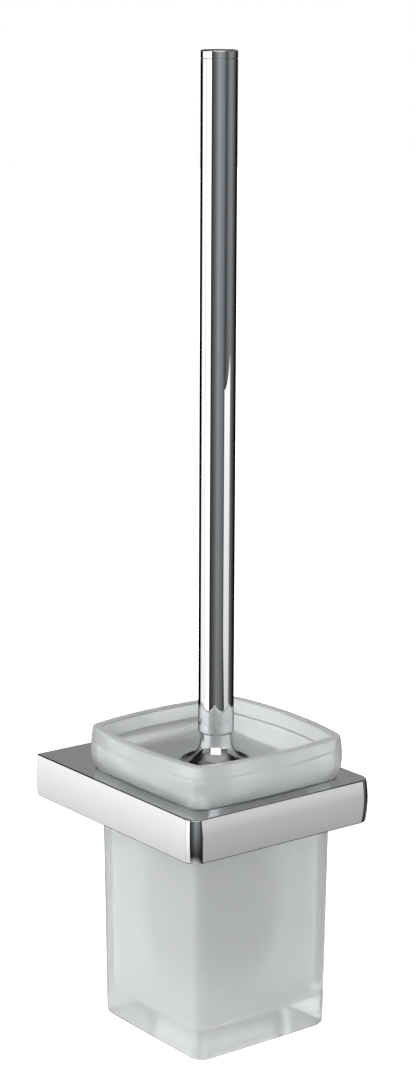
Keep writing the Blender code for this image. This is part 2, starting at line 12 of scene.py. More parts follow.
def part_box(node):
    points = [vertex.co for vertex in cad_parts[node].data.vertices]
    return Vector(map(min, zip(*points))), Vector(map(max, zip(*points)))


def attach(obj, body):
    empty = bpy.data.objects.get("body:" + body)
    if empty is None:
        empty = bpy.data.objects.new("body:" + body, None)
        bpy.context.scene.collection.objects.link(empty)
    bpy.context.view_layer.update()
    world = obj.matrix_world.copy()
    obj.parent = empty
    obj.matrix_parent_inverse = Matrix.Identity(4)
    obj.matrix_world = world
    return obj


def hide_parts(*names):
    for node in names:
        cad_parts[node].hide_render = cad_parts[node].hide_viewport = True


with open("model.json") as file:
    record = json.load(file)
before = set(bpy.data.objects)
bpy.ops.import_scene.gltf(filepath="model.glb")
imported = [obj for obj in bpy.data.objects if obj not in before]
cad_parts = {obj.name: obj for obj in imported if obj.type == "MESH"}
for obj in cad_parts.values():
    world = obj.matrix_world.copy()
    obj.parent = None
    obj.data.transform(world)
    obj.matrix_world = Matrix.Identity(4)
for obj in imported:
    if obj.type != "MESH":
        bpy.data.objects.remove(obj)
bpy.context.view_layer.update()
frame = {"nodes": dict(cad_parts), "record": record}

MM = 0.001
GAP = 0.3 * MM

NODES = frame["nodes"]
SLOT_OF = {part["node"]: part["material_slot"] for part in frame["record"]["subparts"]}
BODY_OF = {node: body for body, nodes in frame["record"]["behaviour"]["bodies"].items() for node in nodes}


def low(node):
    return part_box(node)[0]


def high(node):
    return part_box(node)[1]


def middle(node):
    return (low(node) + high(node)) / 2


# The upright axis that the tumbler and the brush share.
AXIS = Vector((0, middle("handle_tube").y, 0))
ON_AXIS = Matrix.Translation(AXIS)

# Holder ring, as in the part's source.
RING_CROWN = 0.65 * MM
RING_HALF_WIDTH = high("holder_ring").x - RING_CROWN
RING_FRONT = low("holder_ring").y + RING_CROWN
RING_HALF_HEIGHT = high("holder_ring").z
RING_CORNER = 6.0 * MM
RING_BACK_CORNER = 0.25 * MM
RING_EDGE = 0.6 * MM
OPENING_HALF = 38.9 * MM
OPENING_CORNER = 6.4 * MM
REBATE_HALF = 41.0 * MM
REBATE_DEPTH = 1.2 * MM
POCKET_SIZE = Vector((72.0, 22.0, 14.0)) * MM
SET_SCREW_HOLE = 2.8 * MM

# Tumbler.
TOP_FACE = RING_HALF_HEIGHT
BODY_HALF_TOP = 38.5 * MM
BODY_HALF_FOOT = 37.3 * MM
BODY_CORNER = 6.0 * MM
BODY_SIDE_RADIUS = 2.0
FOOT_Z = low("glass_tumbler").z
FOOT_EDGE = 2.8 * MM
SHOULDER_Z = TOP_FACE + 0.4 * MM
SHOULDER_HALF = 42.0 * MM
BELLY_Z = TOP_FACE + 11.0 * MM
BELLY_HALF = 46.1 * MM
RIM_Z = high("glass_tumbler").z
RIM_HALF = 45.4 * MM
RIM_INNER_HALF = 41.1 * MM
RIM_CORNER = 6.5 * MM
RIM_SIDE_RADIUS = 170.0 * MM
LEDGE_Z = TOP_FACE + 12.2 * MM
RIM_EDGE = 0.9 * MM
CAVITY_HALF_TOP = 33.2 * MM
CAVITY_HALF_FLOOR = 32.2 * MM
CAVITY_CORNER = 5.0 * MM
FLOOR_Z = -95.6 * MM

# Brush handle.
HANDLE_RADIUS = high("handle_tube").x
HANDLE_WALL = 1.0 * MM
HANDLE_TOP = high("handle_cap").z
CAP_SPIGOT = 9.0 * MM
TUBE_FOOT = low("handle_tube").z
TUBE_TOP = high("handle_tube").z
TUBE_CHAMFER = 1.0 * MM
NECK_RADIUS = 6.85 * MM
NECK_FLARE_Z = 26.2 * MM
NECK_RIM_RADIUS = high("handle_neck").x
NECK_RIM_Z = 16.0 * MM
NECK_FOOT_Z = low("handle_neck").z
STUD_RADIUS = high("threaded_stud").x
WASHER_RADIUS = high("head_washer").x

# Brush head.
HEAD_TOP = high("head_core").z
STEM_RADIUS = 7.5 * MM
CORE_RADIUS = high("head_core").x
CORE_TOP = -14.0 * MM
CORE_FOOT = low("head_core").z
CORE_DOME = 4.0 * MM
ROW_COUNT = 9
TUFTS_PER_ROW = 16
FILAMENTS_PER_TUFT = 24
FILAMENT_RADIUS = 0.2 * MM
FILAMENT_BOW = 0.35 * MM
SHORTEST_FILAMENT = 0.955
TUFT_ROOT_RADIUS = 1.5 * MM

# Camera.
CAMERA_AZIMUTH = math.radians(-37.275)
CAMERA_PITCH = math.radians(12.582)
CAMERA_ROLL = math.radians(0.249)
CAMERA_PLACE = Vector((-0.65422, -0.92274, 0.35680))
CAMERA_LENS = 83.177
CAMERA_SENSOR = 36.0

# How far the floor lies below the object.
FLOOR_DROP = 0.16

# Fineness of the meshes.
ROUND_STEPS = 128
SIDE_STEPS = 14
CORNER_STEPS = 10


def add_object(name, data):
    added = bpy.data.objects.new(name, data)
    bpy.context.scene.collection.objects.link(added)
    return added


# --- materials


def new_material(name):
    material = bpy.data.materials.new(name)
    material.use_nodes = True
    tree = material.node_tree
    return material, tree, tree.nodes["Principled BSDF"]


def object_coordinates(tree, scale=(1, 1, 1)):
    coordinates = tree.nodes.new("ShaderNodeTexCoord")
    mapping = tree.nodes.new("ShaderNodeMapping")
    mapping.inputs["Scale"].default_value = scale
    tree.links.new(coordinates.outputs["Object"], mapping.inputs["Vector"])
    return mapping.outputs["Vector"]


def noise(tree, vector, scale, detail=3.0, roughness=0.5):
    node = tree.nodes.new("ShaderNodeTexNoise")
    node.inputs["Scale"].default_value = scale
    node.inputs["Detail"].default_value = detail
    node.inputs["Roughness"].default_value = roughness
    tree.links.new(vector, node.inputs["Vector"])
    return node.outputs["Fac"]


def map_range(tree, value, start, end, to_start, to_end, smooth=False):
    node = tree.nodes.new("ShaderNodeMapRange")
    node.interpolation_type = "SMOOTHSTEP" if smooth else "LINEAR"
    for name, number in (("From Min", start), ("From Max", end), ("To Min", to_start), ("To Max", to_end)):
        node.inputs[name].default_value = number
    tree.links.new(value, node.inputs["Value"])
    return node.outputs["Result"]


def color_ramp(tree, value, stops):
    """stops holds (position, (r, g, b))."""
    node = tree.nodes.new("ShaderNodeValToRGB")
    elements = node.color_ramp.elements
    while len(elements) < len(stops):
        elements.new(1.0)
    for element, (position, color) in zip(elements, stops):
        element.position = position
        element.color = (*color, 1.0)
    tree.links.new(value, node.inputs["Fac"])
    return node.outputs["Color"]


def bump(tree, shader, height, strength, distance):
    node = tree.nodes.new("ShaderNodeBump")
    node.inputs["Strength"].default_value = strength
    node.inputs["Distance"].default_value = distance
    tree.links.new(height, node.inputs["Height"])
    tree.links.new(node.outputs["Normal"], shader.inputs["Normal"])


def tint(tree, shader, value, colors, start=0.3, end=0.7):
    """The base colour goes from the first to the second colour while the value goes from start to end."""
    ramp = color_ramp(tree, value, [(start, colors[0]), (end, colors[1])])
    tree.links.new(ramp, shader.inputs["Base Color"])


def vary_gloss(tree, shader, value, roughness, start=0.3, end=0.7):
    tree.links.new(map_range(tree, value, start, end, *roughness), shader.inputs["Roughness"])


def chrome_material(name, colors, edge_gloss=1.0):
    """Polished chrome plate: almost a mirror, with faint wipe marks in its gloss.

    edge_gloss is the share of light that the plate reflects at a glancing angle.
    """
    material, tree, shader = new_material(name)
    tint(tree, shader, noise(tree, object_coordinates(tree), 18), colors)
    wipes = noise(tree, object_coordinates(tree, (1, 1, 0.25)), 60, 4, 0.6)
    vary_gloss(tree, shader, wipes, (0.005, 0.02), 0.35, 0.75)
    shader.inputs["Metallic"].default_value = 1.0
    shader.inputs["Specular Tint"].default_value = (edge_gloss, edge_gloss, edge_gloss, 1)
    return material


def satin_glass_material(name, colors, frost, transmission):
    """Etched glass. frost is the least and most roughness of its fine grain."""
    material, tree, shader = new_material(name)
    vector = object_coordinates(tree)
    tint(tree, shader, noise(tree, vector, 30, 2), colors)
    vary_gloss(tree, shader, noise(tree, vector, 900, 4, 0.65), frost)
    shader.inputs["Transmission Weight"].default_value = transmission
    shader.inputs["IOR"].default_value = 1.5
    bump(tree, shader, noise(tree, vector, 2500, 2), 0.04, 0.05 * MM)
    return material


def speckled_material(name, colors, roughness, metallic=0.0, grain=400):
    """A cast or moulded surface: two close colours, uneven gloss and a fine grain."""
    material, tree, shader = new_material(name)
    vector = object_coordinates(tree)
    tint(tree, shader, noise(tree, vector, grain / 8), colors, 0.35, 0.65)
    fine = noise(tree, vector, grain, 4)
    vary_gloss(tree, shader, fine, roughness)
    shader.inputs["Metallic"].default_value = metallic
    bump(tree, shader, fine, 0.1, 0.1 * MM)
    return material


def turned_metal_material(name, colors, roughness, scale=(1, 1, 1)):
    """Metal with the fine parallel marks of a lathe across its axis."""
    material, tree, shader = new_material(name)
    marks = noise(tree, object_coordinates(tree, scale), 60, 4, 0.7)
    tint(tree, shader, marks, colors)
    vary_gloss(tree, shader, marks, roughness)
    shader.inputs["Metallic"].default_value = 1.0
    bump(tree, shader, marks, 0.15, 0.05 * MM)
    return material


def bristle_material():
    """White nylon filament: each one a little lighter or darker, and light shines through the tips."""
    material, tree, shader = new_material("nylon_bristle")
    shade = tree.nodes.new("ShaderNodeAttribute")
    shade.attribute_name = "filament_shade"
    tint(tree, shader, shade.outputs["Fac"], ((0.8, 0.81, 0.79), (0.92, 0.93, 0.92)), 0.0, 1.0)
    vary_gloss(tree, shader, noise(tree, object_coordinates(tree), 700, 2), (0.35, 0.5))
    shader.inputs["Subsurface Weight"].default_value = 0.25
    shader.inputs["Subsurface Scale"].default_value = 1.0 * MM
    return material


def make_materials():
    plate = ((0.91, 0.92, 0.93), (0.94, 0.945, 0.95))
    silicone = speckled_material("clear_silicone", ((0.5, 0.52, 0.52), (0.55, 0.57, 0.57)), (0.42, 0.55))
    silicone_shader = silicone.node_tree.nodes["Principled BSDF"]
    silicone_shader.inputs["Subsurface Weight"].default_value = 0.3
    silicone_shader.inputs["Subsurface Scale"].default_value = 1.0 * MM
    return {
        "chrome": chrome_material("polished_chrome", plate),
        "handle_chrome": chrome_material("handle_chrome", plate, 0.02),
        # Nearly black plate for inside the cap's joint: painted shade for the seam's dark line.
        "dull_plate": speckled_material("dull_plate", ((0.08,) * 3, (0.13,) * 3), (0.5, 0.7), 1.0),
        "ring_chrome": chrome_material("ring_chrome", ((0.78, 0.79, 0.8), (0.81, 0.82, 0.83))),
        "satin_glass": satin_glass_material(
            "satin_glass_outside", ((0.946, 0.964, 0.97), (0.961, 0.979, 0.985)), (0.12, 0.19), 0.66
        ),
        "frosted_glass": satin_glass_material(
            "frosted_glass_inside", ((0.862, 0.88, 0.89), (0.892, 0.91, 0.92)), (0.5, 0.6), 0.85
        ),
        "silicone": silicone,
        "zinc": speckled_material("cast_zinc", ((0.46, 0.47, 0.5), (0.58, 0.59, 0.61)), (0.34, 0.55), 1.0),
        "steel": turned_metal_material("bright_steel", ((0.5, 0.5, 0.49), (0.66, 0.65, 0.64)), (0.2, 0.36)),
        "black_steel": speckled_material(
            "blackened_steel", ((0.035, 0.035, 0.04), (0.07, 0.07, 0.075)), (0.34, 0.5), 1.0, 900
        ),
        "brass": turned_metal_material(
            "turned_brass", ((0.66, 0.48, 0.2), (0.83, 0.65, 0.33)), (0.22, 0.36), (0.05, 0.05, 40)
        ),
        "rubber": speckled_material("black_rubber", ((0.02, 0.02, 0.021), (0.035, 0.035, 0.036)), (0.6, 0.8)),
        "nylon": speckled_material("grey_nylon", ((0.42, 0.43, 0.44), (0.5, 0.51, 0.52)), (0.45, 0.6)),
        "white_plastic": speckled_material(
            "white_plastic", ((0.62, 0.63, 0.62), (0.67, 0.68, 0.67)), (0.26, 0.36), grain=500
        ),
        "bristle": bristle_material(),
    }


# --- shape tools


def mesh_from(name, shape):
    bmesh.ops.recalc_face_normals(shape, faces=shape.faces)
    mesh = bpy.data.meshes.new(name)
    shape.to_mesh(mesh)
    shape.free()
    return mesh


def add_piece(name, mesh, node, materials, sharp, place=Matrix()):
    """A piece that stands for one CAD node, rides on that node's body and wears its material.

    Edges that turn by more than the angle sharp are not smoothed.
    """
    mesh.transform(place)
    piece = add_object(name, mesh)
    mesh.materials.clear()
    mesh.materials.append(materials[SLOT_OF[node]])
    mesh.shade_smooth()
    mesh.set_sharp_from_angle(angle=sharp)
    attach(piece, BODY_OF[node])
    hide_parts(node)
    return piece


def weigh_normals(piece):
    """Flat faces stay flat next to a small round edge."""
    weighted = piece.modifiers.new("weighted_normals", "WEIGHTED_NORMAL")
    weighted.keep_sharp = True
    weighted.weight = 100


def square_outline(half, side_radius, corner_radius):
    """A square, counter-clockwise, whose sides bow out on side_radius and whose corners are round."""
    offset = side_radius - half
    reach = side_radius - corner_radius
    corner = (-offset + math.sqrt(2 * reach**2 - offset**2)) / 2
    tilt = math.atan2(corner, corner + offset)
    points = []
    for quarter in range(4):
        local = []
        for step in range(SIDE_STEPS):
            angle = tilt * (2 * step / SIDE_STEPS - 1)
            local.append((side_radius * math.cos(angle) - offset, side_radius * math.sin(angle)))
        for step in range(CORNER_STEPS):
            angle = tilt + (math.pi / 2 - 2 * tilt) * step / CORNER_STEPS
            local.append((corner + corner_radius * math.cos(angle), corner + corner_radius * math.sin(angle)))
        turn = Matrix.Rotation(quarter * math.pi / 2, 2)
        points += [tuple(turn @ Vector(point)) for point in local]
    return points


def about_axis(outline):
    return [(x, y + AXIS.y) for x, y in outline]


def loft(name, sections, closed=False):
    """A solid through a list of (outline, z). It ends in flat caps, or runs back to its first section."""
    shape = bmesh.new()
    rings = [[shape.verts.new((x, y, z)) for x, y in outline] for outline, z in sections]
    pairs = list(zip(rings, rings[1:]))
    if closed:
        pairs.append((rings[-1], rings[0]))
    for lower, upper in pairs:
        count = len(lower)
        for index in range(count):
            after = (index + 1) % count
            shape.faces.new((lower[index], lower[after], upper[after], upper[index]))
    if not closed:
        shape.faces.new(rings[0])
        shape.faces.new(rings[-1])
    return mesh_from(name, shape)


def turned(name, profile, steps=ROUND_STEPS, closed=False, radius_at=None):
    """A turned solid about Z through (radius, z). radius_at(radius, z, angle) adds threads or ribs."""
    shape = bmesh.new()
    rings = []
    for radius, z in profile:
        if radius == 0:
            rings.append([shape.verts.new((0, 0, z))])
            continue
        ring = []
        for step in range(steps):
            angle = 2 * math.pi * step / steps
            reach = radius_at(radius, z, angle) if radius_at else radius
            ring.append(shape.verts.new((reach * math.cos(angle), reach * math.sin(angle), z)))
        rings.append(ring)
    pairs = list(zip(rings, rings[1:]))
    if closed:
        pairs.append((rings[-1], rings[0]))
    for upper, lower in pairs:
        if len(upper) == len(lower) == 1:
            continue
        for step in range(steps):
            after = (step + 1) % steps
            corners = (
                upper[step % len(upper)],
                upper[after % len(upper)],
                lower[after % len(lower)],
                lower[step % len(lower)],
            )
            shape.faces.new(list(dict.fromkeys(corners)))
    return mesh_from(name, shape)


def arc(centre, radius, start, end, steps):
    """Points on an arc, from the start to the end angle in degrees."""
    angles = [math.radians(start + (end - start) * step / steps) for step in range(steps + 1)]
    return [(centre[0] + radius * math.cos(a), centre[1] + radius * math.sin(a)) for a in angles]


def smooth_through(points, steps):
    """A Catmull-Rom curve through points of any dimension."""
    knots = [Vector(point) for point in points]
    knots = [2 * knots[0] - knots[1], *knots, 2 * knots[-1] - knots[-2]]
    curve = []
    for before, start, end, after in zip(knots, knots[1:], knots[2:], knots[3:]):
        for step in range(steps):
            t = step / steps
            curve.append(
                0.5
                * (
                    2 * start
                    + (end - before) * t
                    + (2 * before - 5 * start + 4 * end - after) * t**2
                    + (3 * start - before - 3 * end + after) * t**3
                )
            )
    curve.append(knots[-2])
    return curve


def blend_value(start, end, share):
    return start + (end - start) * share


def box(name, size):
    """A box about the origin."""
    shape = bmesh.new()
    bmesh.ops.create_cube(shape, size=1.0)
    bmesh.ops.scale(shape, vec=size, verts=shape.verts)
    return mesh_from(name, shape)


def carve(mesh, cutters):
    """The mesh with each cutter mesh taken away from it."""
    solid = add_object("solid", mesh)
    tools = []
    for cutter in cutters:
        tool = add_object(cutter.name, cutter)
        boolean = solid.modifiers.new(cutter.name, "BOOLEAN")
        boolean.operation = "DIFFERENCE"
        boolean.solver = "EXACT"
        boolean.object = tool
        tools.append(tool)
    depsgraph = bpy.context.evaluated_depsgraph_get()
    carved = bpy.data.meshes.new_from_object(solid.evaluated_get(depsgraph))
    for helper in (solid, *tools):
        bpy.data.objects.remove(helper, do_unlink=True)
    return carved


# --- holder ring


def ring_outline(inset):
    """Flat back on the wall, crowned sides moved in by inset, large front corners and crisp back corners."""
    side = RING_HALF_WIDTH + RING_CROWN - inset
    front = RING_FRONT - RING_CROWN + inset
    small, large = RING_BACK_CORNER, RING_CORNER
    corners = (
        ((side - small, -small), small, 0),
        ((small - side, -small), small, 90),
        ((large - side, front + large), large, 180),
        ((side - large, front + large), large, 270),
    )
    arcs = [arc(centre, radius, start, start + 90, CORNER_STEPS) for centre, radius, start in corners]
    points = []
    for quarter, corner in enumerate(arcs):
        start, end = Vector(arcs[quarter - 1][-1]), Vector(corner[0])
        points += [tuple(start.lerp(end, step / SIDE_STEPS)) for step in range(SIDE_STEPS)]
        points += corner[:CORNER_STEPS]
    return points


def ring_sections():
    """Up the crowned outside, across the top, down the opening and back."""
    half = RING_HALF_HEIGHT
    edge_steps, side_steps = 8, 10
    levels = []
    for step in range(edge_steps + 1):
        angle = math.pi / 2 * step / edge_steps
        levels.append((half - RING_EDGE * (1 - math.cos(angle)), RING_EDGE * (1 - math.sin(angle))))
    flank = half - RING_EDGE
    levels += [(flank * (1 - 2 * step / side_steps), 0.0) for step in range(1, side_steps)]
    levels += [(-z, inset) for z, inset in reversed(levels[: edge_steps + 1])]
    levels.reverse()
    outside = [(ring_outline(inset + RING_CROWN * (z / half) ** 2), z) for z, inset in levels]

    def opening(half_width, corner):
        return about_axis(square_outline(half_width, BODY_SIDE_RADIUS, corner))

    rebate_corner = OPENING_CORNER + REBATE_HALF - OPENING_HALF
    lip = 0.2 * MM
    seat = half - REBATE_DEPTH
    inside = [
        (opening(REBATE_HALF + lip, rebate_corner + lip), half),
        (opening(REBATE_HALF, rebate_corner), half - lip),
        (opening(REBATE_HALF, rebate_corner), seat),
        (opening(OPENING_HALF + lip, OPENING_CORNER + lip), seat),
        (opening(OPENING_HALF, OPENING_CORNER), seat - lip),
        (opening(OPENING_HALF, OPENING_CORNER), lip - half),
        (opening(OPENING_HALF + lip, OPENING_CORNER + lip), -half),
    ]
    return outside + inside


def holder_ring(materials):
    mesh = loft("ring", ring_sections(), closed=True)
    pocket = box("pocket", POCKET_SIZE)
    screw = middle("set_screw")
    hole = turned(
        "hole",
        [(0, 0), (SET_SCREW_HOLE, 0), (SET_SCREW_HOLE, -2 * RING_HALF_HEIGHT), (0, -2 * RING_HALF_HEIGHT)],
        32,
    )
    hole.transform(Matrix.Translation((screw.x, screw.y, 0)))
    mesh = carve(mesh, [pocket, hole])
    ring = add_piece("ring_chrome", mesh, "holder_ring", materials, math.radians(30))
    mesh.materials[0] = materials["ring_chrome"]
    weigh_normals(ring)


# --- tumbler


def tumbler_section(half, z, pillow):
    """A tumbler outline at height z. pillow goes from 0, the straight-sided body, to 1, the bowed rim."""
    bend = blend_value(1 / BODY_SIDE_RADIUS, 1 / RIM_SIDE_RADIUS, pillow)
    outline = square_outline(half, 1 / bend, blend_value(BODY_CORNER, RIM_CORNER, pillow))
    return about_axis(outline), z


def tumbler_outside():
    steps = 8
    sections = []
    for step in range(steps + 1):
        angle = math.pi / 2 * step / steps
        inset = FOOT_EDGE * (1 - math.sin(angle))
        height = FOOT_Z + FOOT_EDGE * (1 - math.cos(angle))
        sections.append(tumbler_section(BODY_HALF_FOOT - inset, height, 0))
    neck_z = SHOULDER_Z - 1.0 * MM
    for share in (0.25, 0.5, 0.75, 1.0):
        half = blend_value(BODY_HALF_FOOT, BODY_HALF_TOP, share)
        sections.append(tumbler_section(half, blend_value(FOOT_Z + FOOT_EDGE, neck_z, share), 0))
    sections.append(tumbler_section(BODY_HALF_TOP + 0.4 * MM, SHOULDER_Z, 0.1))
    power, belly_steps = 2.6, 16
    for step in range(belly_steps + 1):
        share = (step / belly_steps) ** 1.5
        bulge = 1 - (1 - share) ** power
        half = blend_value(SHOULDER_HALF, BELLY_HALF, bulge)
        sections.append(tumbler_section(half, blend_value(SHOULDER_Z, BELLY_Z, share), 0.4 + 0.6 * bulge))
    for share in (0.3, 0.6, 0.85):
        half = blend_value(BELLY_HALF, RIM_HALF, share**1.4)
        sections.append(tumbler_section(half, blend_value(BELLY_Z, RIM_Z - RIM_EDGE, share), 1))
    rim_steps = 6
    for step in range(rim_steps + 1):
        angle = math.pi / 2 * step / rim_steps
        half = RIM_HALF - RIM_EDGE * (1 - math.cos(angle))
        sections.append(tumbler_section(half, RIM_Z - RIM_EDGE * (1 - math.sin(angle)), 1))
    return sections


def tumbler_inside():
    """From the rim down to the floor: a flared collar, a small ledge, then the cavity."""
    rim = []
    for angle in (0, 22, 45, 67, 90):
        inset = RIM_EDGE * (1 - math.sin(math.radians(angle)))
        drop = RIM_EDGE * (1 - math.cos(math.radians(angle)))
        rim.append((RIM_INNER_HALF + inset, RIM_Z - drop))
    foot, head = TOP_FACE - 5.5 * MM, LEDGE_Z
    collar = smooth_through(
        [
            (40.7 * MM, LEDGE_Z + 0.7 * MM),
            (39.6 * MM, LEDGE_Z - 0.4 * MM),
            (39.0 * MM, TOP_FACE + 6 * MM),
            (37.4 * MM, TOP_FACE + 1.5 * MM),
            (35.0 * MM, TOP_FACE - 2 * MM),
            (CAVITY_HALF_TOP + 0.4 * MM, foot),
            (CAVITY_HALF_TOP, TOP_FACE - 10 * MM),
        ],
        4,
    )
    sections = []
    for half, z in rim + [tuple(point) for point in collar]:
        share = min(1.0, max(0.0, (z - foot) / (head - foot)))
        bend = blend_value(1 / BODY_SIDE_RADIUS, 1 / RIM_SIDE_RADIUS, share)
        outline = square_outline(half, 1 / bend, blend_value(CAVITY_CORNER, RIM_CORNER - 2.5 * MM, share))
        sections.append((about_axis(outline), z))
    fillet, steps = 3.0 * MM, 6
    for step in range(steps + 1):
        angle = math.pi / 2 * step / steps
        half = CAVITY_HALF_FLOOR - fillet * (1 - math.cos(angle))
        outline = square_outline(half, BODY_SIDE_RADIUS, CAVITY_CORNER)
        sections.append((about_axis(outline), FLOOR_Z + fillet * (1 - math.sin(angle))))
    return sections


def glass_tumbler(materials):
    """Lightly etched outside, fully frosted inside the cavity."""
    mesh = loft("tumbler", tumbler_outside() + tumbler_inside())
    add_piece("tumbler_glass", mesh, "glass_tumbler", materials, math.radians(50))
    mesh.materials.append(materials["frosted_glass"])
    for face in mesh.polygons:
        towards_axis = face.normal.dot(AXIS - face.center) > 0 and face.normal.z > -0.5
        reach = max(abs(face.center.x), abs(face.center.y - AXIS.y))
        inside = reach < CAVITY_HALF_TOP + 0.6 * MM and face.center.z > FOOT_Z + FOOT_EDGE
        face.material_index = 1 if inside and (towards_axis or face.normal.z > 0.9) else 0


# --- brush handle


def handle_tube(materials):
    bore = HANDLE_RADIUS - HANDLE_WALL
    edge = 0.08 * MM
    profile = arc((HANDLE_RADIUS - edge, TUBE_TOP - edge), edge, 90, 0, 3)
    profile += arc((HANDLE_RADIUS - TUBE_CHAMFER, TUBE_FOOT + TUBE_CHAMFER), TUBE_CHAMFER, 0, -80, 8)
    profile += [(bore - 0.1 * MM, TUBE_FOOT), (bore, TUBE_TOP)]
    mesh = turned("tube", profile, closed=True)
    tube = add_piece("tube_chrome", mesh, "handle_tube", materials, math.radians(25), ON_AXIS)
    tube.data.materials[0] = materials["handle_chrome"]
    weigh_normals(tube)


def handle_cap(materials):
    seam = TUBE_TOP + 0.18 * MM
    spigot = HANDLE_RADIUS - HANDLE_WALL - GAP
    edge = 0.7 * MM
    small = 0.08 * MM
    profile = [(0, HANDLE_TOP)]
    profile += arc((HANDLE_RADIUS - edge, HANDLE_TOP - edge), edge, 90, 0, 10)
    profile += arc((HANDLE_RADIUS - small, seam + small), small, 0, -90, 3)
    profile += [(spigot, seam), (spigot, seam - CAP_SPIGOT + edge), (spigot - edge, seam - CAP_SPIGOT)]
    profile.append((0, seam - CAP_SPIGOT))
    mesh = turned("cap", profile)
    cap = add_piece("cap_chrome", mesh, "handle_cap", materials, math.radians(40), ON_AXIS)
    weigh_normals(cap)
    # Inside the joint the plate is nearly black: painted shade that draws the dark seam line between cap and
    # tube.
    cap.data.materials.append(materials["dull_plate"])
    for face in cap.data.polygons:
        if face.center.z < seam + small / 50:
            face.material_index = 1


def neck_profile():
    """The trumpet: a straight neck that flares along a quarter ellipse into a thin disc."""
    run = NECK_RIM_RADIUS - NECK_RADIUS
    drop = NECK_FLARE_Z - NECK_RIM_Z
    top = TUBE_FOOT
    points = [(NECK_RADIUS, top)]
    for angle in range(0, 90, 4):
        turn = math.radians(angle)
        points.append((NECK_RADIUS + run * (1 - math.cos(turn)), NECK_FLARE_Z - drop * math.sin(turn)))
    edge = 0.35 * MM
    points += arc((NECK_RIM_RADIUS - edge, NECK_RIM_Z - edge), edge, 90, -45, 6)
    points += [(NECK_RIM_RADIUS - 0.9 * MM, NECK_RIM_Z - 1.0 * MM), (WASHER_RADIUS + 1.5 * MM, NECK_FOOT_Z)]
    bore = STUD_RADIUS + GAP
    return points + [(bore, NECK_FOOT_Z), (bore, top)]


def handle_neck(materials):
    mesh = turned("neck", neck_profile(), closed=True)
    neck = add_piece("neck_chrome", mesh, "handle_neck", materials, math.radians(40), ON_AXIS)
    neck.data.materials[0] = materials["handle_chrome"]


def thread(crest, root, pitch):
    """A radius rule for turned(): a helical V thread between the root and crest radius."""

    def radius_at(radius, z, angle):
        if radius < root:
            return radius
        phase = (z / pitch - angle / (2 * math.pi)) % 1.0
        return min(radius, root + (crest - root) * (1 - abs(2 * phase - 1)))

    return radius_at


def threaded_profile(top, foot, radius, chamfer, rows):
    span = top - foot - 2 * chamfer
    profile = [(0, top), (radius - chamfer, top)]
    profile += [(radius, top - chamfer - span * row / rows) for row in range(rows + 1)]
    return profile + [(radius - chamfer, foot), (0, foot)]


def threaded_stud(materials):
    """M8 stud that joins the handle to the brush head."""
    pitch, thread_depth, chamfer, rows = 1.25 * MM, 0.7 * MM, 0.6 * MM, 150
    top, foot = high("threaded_stud").z, low("threaded_stud").z
    profile = threaded_profile(top, foot, STUD_RADIUS, chamfer, rows)
    rule = thread(STUD_RADIUS, STUD_RADIUS - thread_depth, pitch)
    mesh = turned("stud", profile, 32, radius_at=rule)
    add_piece("stud_thread", mesh, "threaded_stud", materials, math.radians(60), ON_AXIS)


# --- wall fixing


def set_screw(materials):
    """Grub screw: a cone point on top, a thread, and a hexagon socket in its foot."""
    top, foot = high("set_screw").z, low("set_screw").z
    radius = high("set_screw").x
    cone, thread_depth, pitch, rows = 1.2 * MM, 0.4 * MM, 0.8 * MM, 40
    socket, socket_depth, drill_point = 1.45 * MM, 3.1 * MM, 0.6 * MM
    span = top - cone - foot
    profile = [(0, top), (radius - cone, top)]
    profile += [(radius, top - cone - span * row / rows) for row in range(rows + 1)]
    profile += [(radius - thread_depth, foot), (socket, foot)]
    profile += [(socket * 0.999, foot + socket_depth), (0, foot + socket_depth + drill_point)]
    rule = thread(radius, radius - thread_depth, pitch)

    def radius_at(wanted, z, angle):
        if wanted > socket:
            return rule(wanted, z, angle)
        sector = math.pi / 3
        return wanted * math.cos(sector / 2) / math.cos((angle % sector) - sector / 2)

    mesh = turned("grub", profile, 36, radius_at=radius_at)
    place = Matrix.Translation((0, middle("set_screw").y, 0))
    add_piece("set_screw_thread", mesh, "set_screw", materials, math.radians(40), place)


def into_wall(node):
    """Places a piece modelled along +Z, with its head at z = 0, so that it points into the wall."""
    start = Vector((middle(node).x, low(node).y, middle(node).z))
    return Matrix.Translation(start) @ Matrix.Rotation(-math.pi / 2, 4, "X")


def wall_screw(side, materials):
    """Countersunk wood screw with a helical thread and a cross recess."""
    node = f"wall_screw_{side}"
    length = high(node).y - low(node).y
    head, shank = high(node).x - middle(node).x, 1.75 * MM
    sink = head - shank
    edge, plain, relief, run_in = 0.3 * MM, 3 * MM, 0.25 * MM, 0.8 * MM
    point, tip = 5 * MM, 0.05 * MM
    pitch, thread_depth, rows = 1.6 * MM, 0.5 * MM, 150
    profile = [(0, 0), (head - edge, 0), (head, edge), (shank, edge + sink)]
    start = edge + sink + plain
    profile.append((shank - relief, start - run_in))
    for row in range(rows + 1):
        z = blend_value(start, length - tip, row / rows)
        taper = min(1.0, (length - z) / point)
        profile.append((max(tip, shank * taper), z))
    profile.append((0, length))

    def radius_at(radius, z, angle):
        if z < start:
            return radius
        phase = (z / pitch + angle / (2 * math.pi)) % 1.0
        crest = max(0.0, 1 - abs(2 * phase - 1) * 1.9)
        return radius * (1 - thread_depth / shank * (1 - crest))

    mesh = turned(node, profile, 28, radius_at=radius_at)
    blades = (Vector((3.8, 1.0, 3.0)) * MM, Vector((1.0, 3.8, 3.0)) * MM)
    mesh = carve(mesh, [box(f"recess_{index}", size) for index, size in enumerate(blades)])
    add_piece(f"screw_{side}", mesh, node, materials, math.radians(45), into_wall(node))


